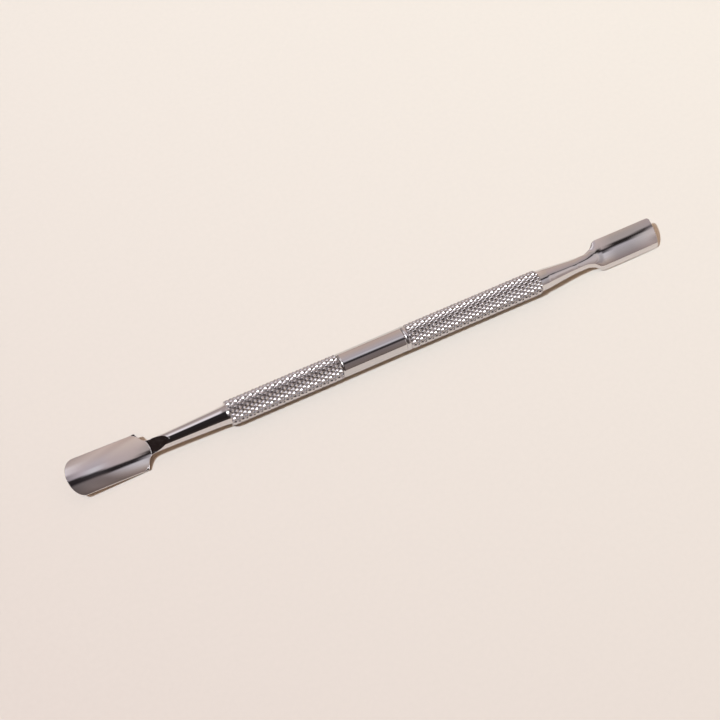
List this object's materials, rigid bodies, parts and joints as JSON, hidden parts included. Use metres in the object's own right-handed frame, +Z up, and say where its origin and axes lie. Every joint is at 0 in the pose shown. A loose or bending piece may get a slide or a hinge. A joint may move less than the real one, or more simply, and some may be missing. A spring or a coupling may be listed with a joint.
{
  "type": "cuticle pusher",
  "caption": "Double-ended steel nail tool: a round-tipped blade and a square-ended blade, both arched across their width, on tapered necks, with a knurled grip beside each and a polished band between the grips.",
  "frame": {"origin": "on the surface that the tool lies on, under the middle of its bounding box", "axes": "+X along the tool from the rounded end to the square end, +Z up; the tool lies rolled about X on its two grips, with one edge of each blade at the surface"},
  "size_m": [0.14, 0.0084, 0.0056],
  "materials": {
    "polished_band": "mirror-polished stainless steel",
    "knurled_grip": "polished stainless steel, diamond knurled",
    "polished_end": "mirror-polished stainless steel with fine grinding marks"
  },
  "bodies": {
    "root": {"handle_core": "polished_band", "short_grip_sleeve": "knurled_grip", "long_grip_sleeve": "knurled_grip", "rounded_pusher": "polished_end", "square_pusher": "polished_end"}
  },
  "joints": []
}
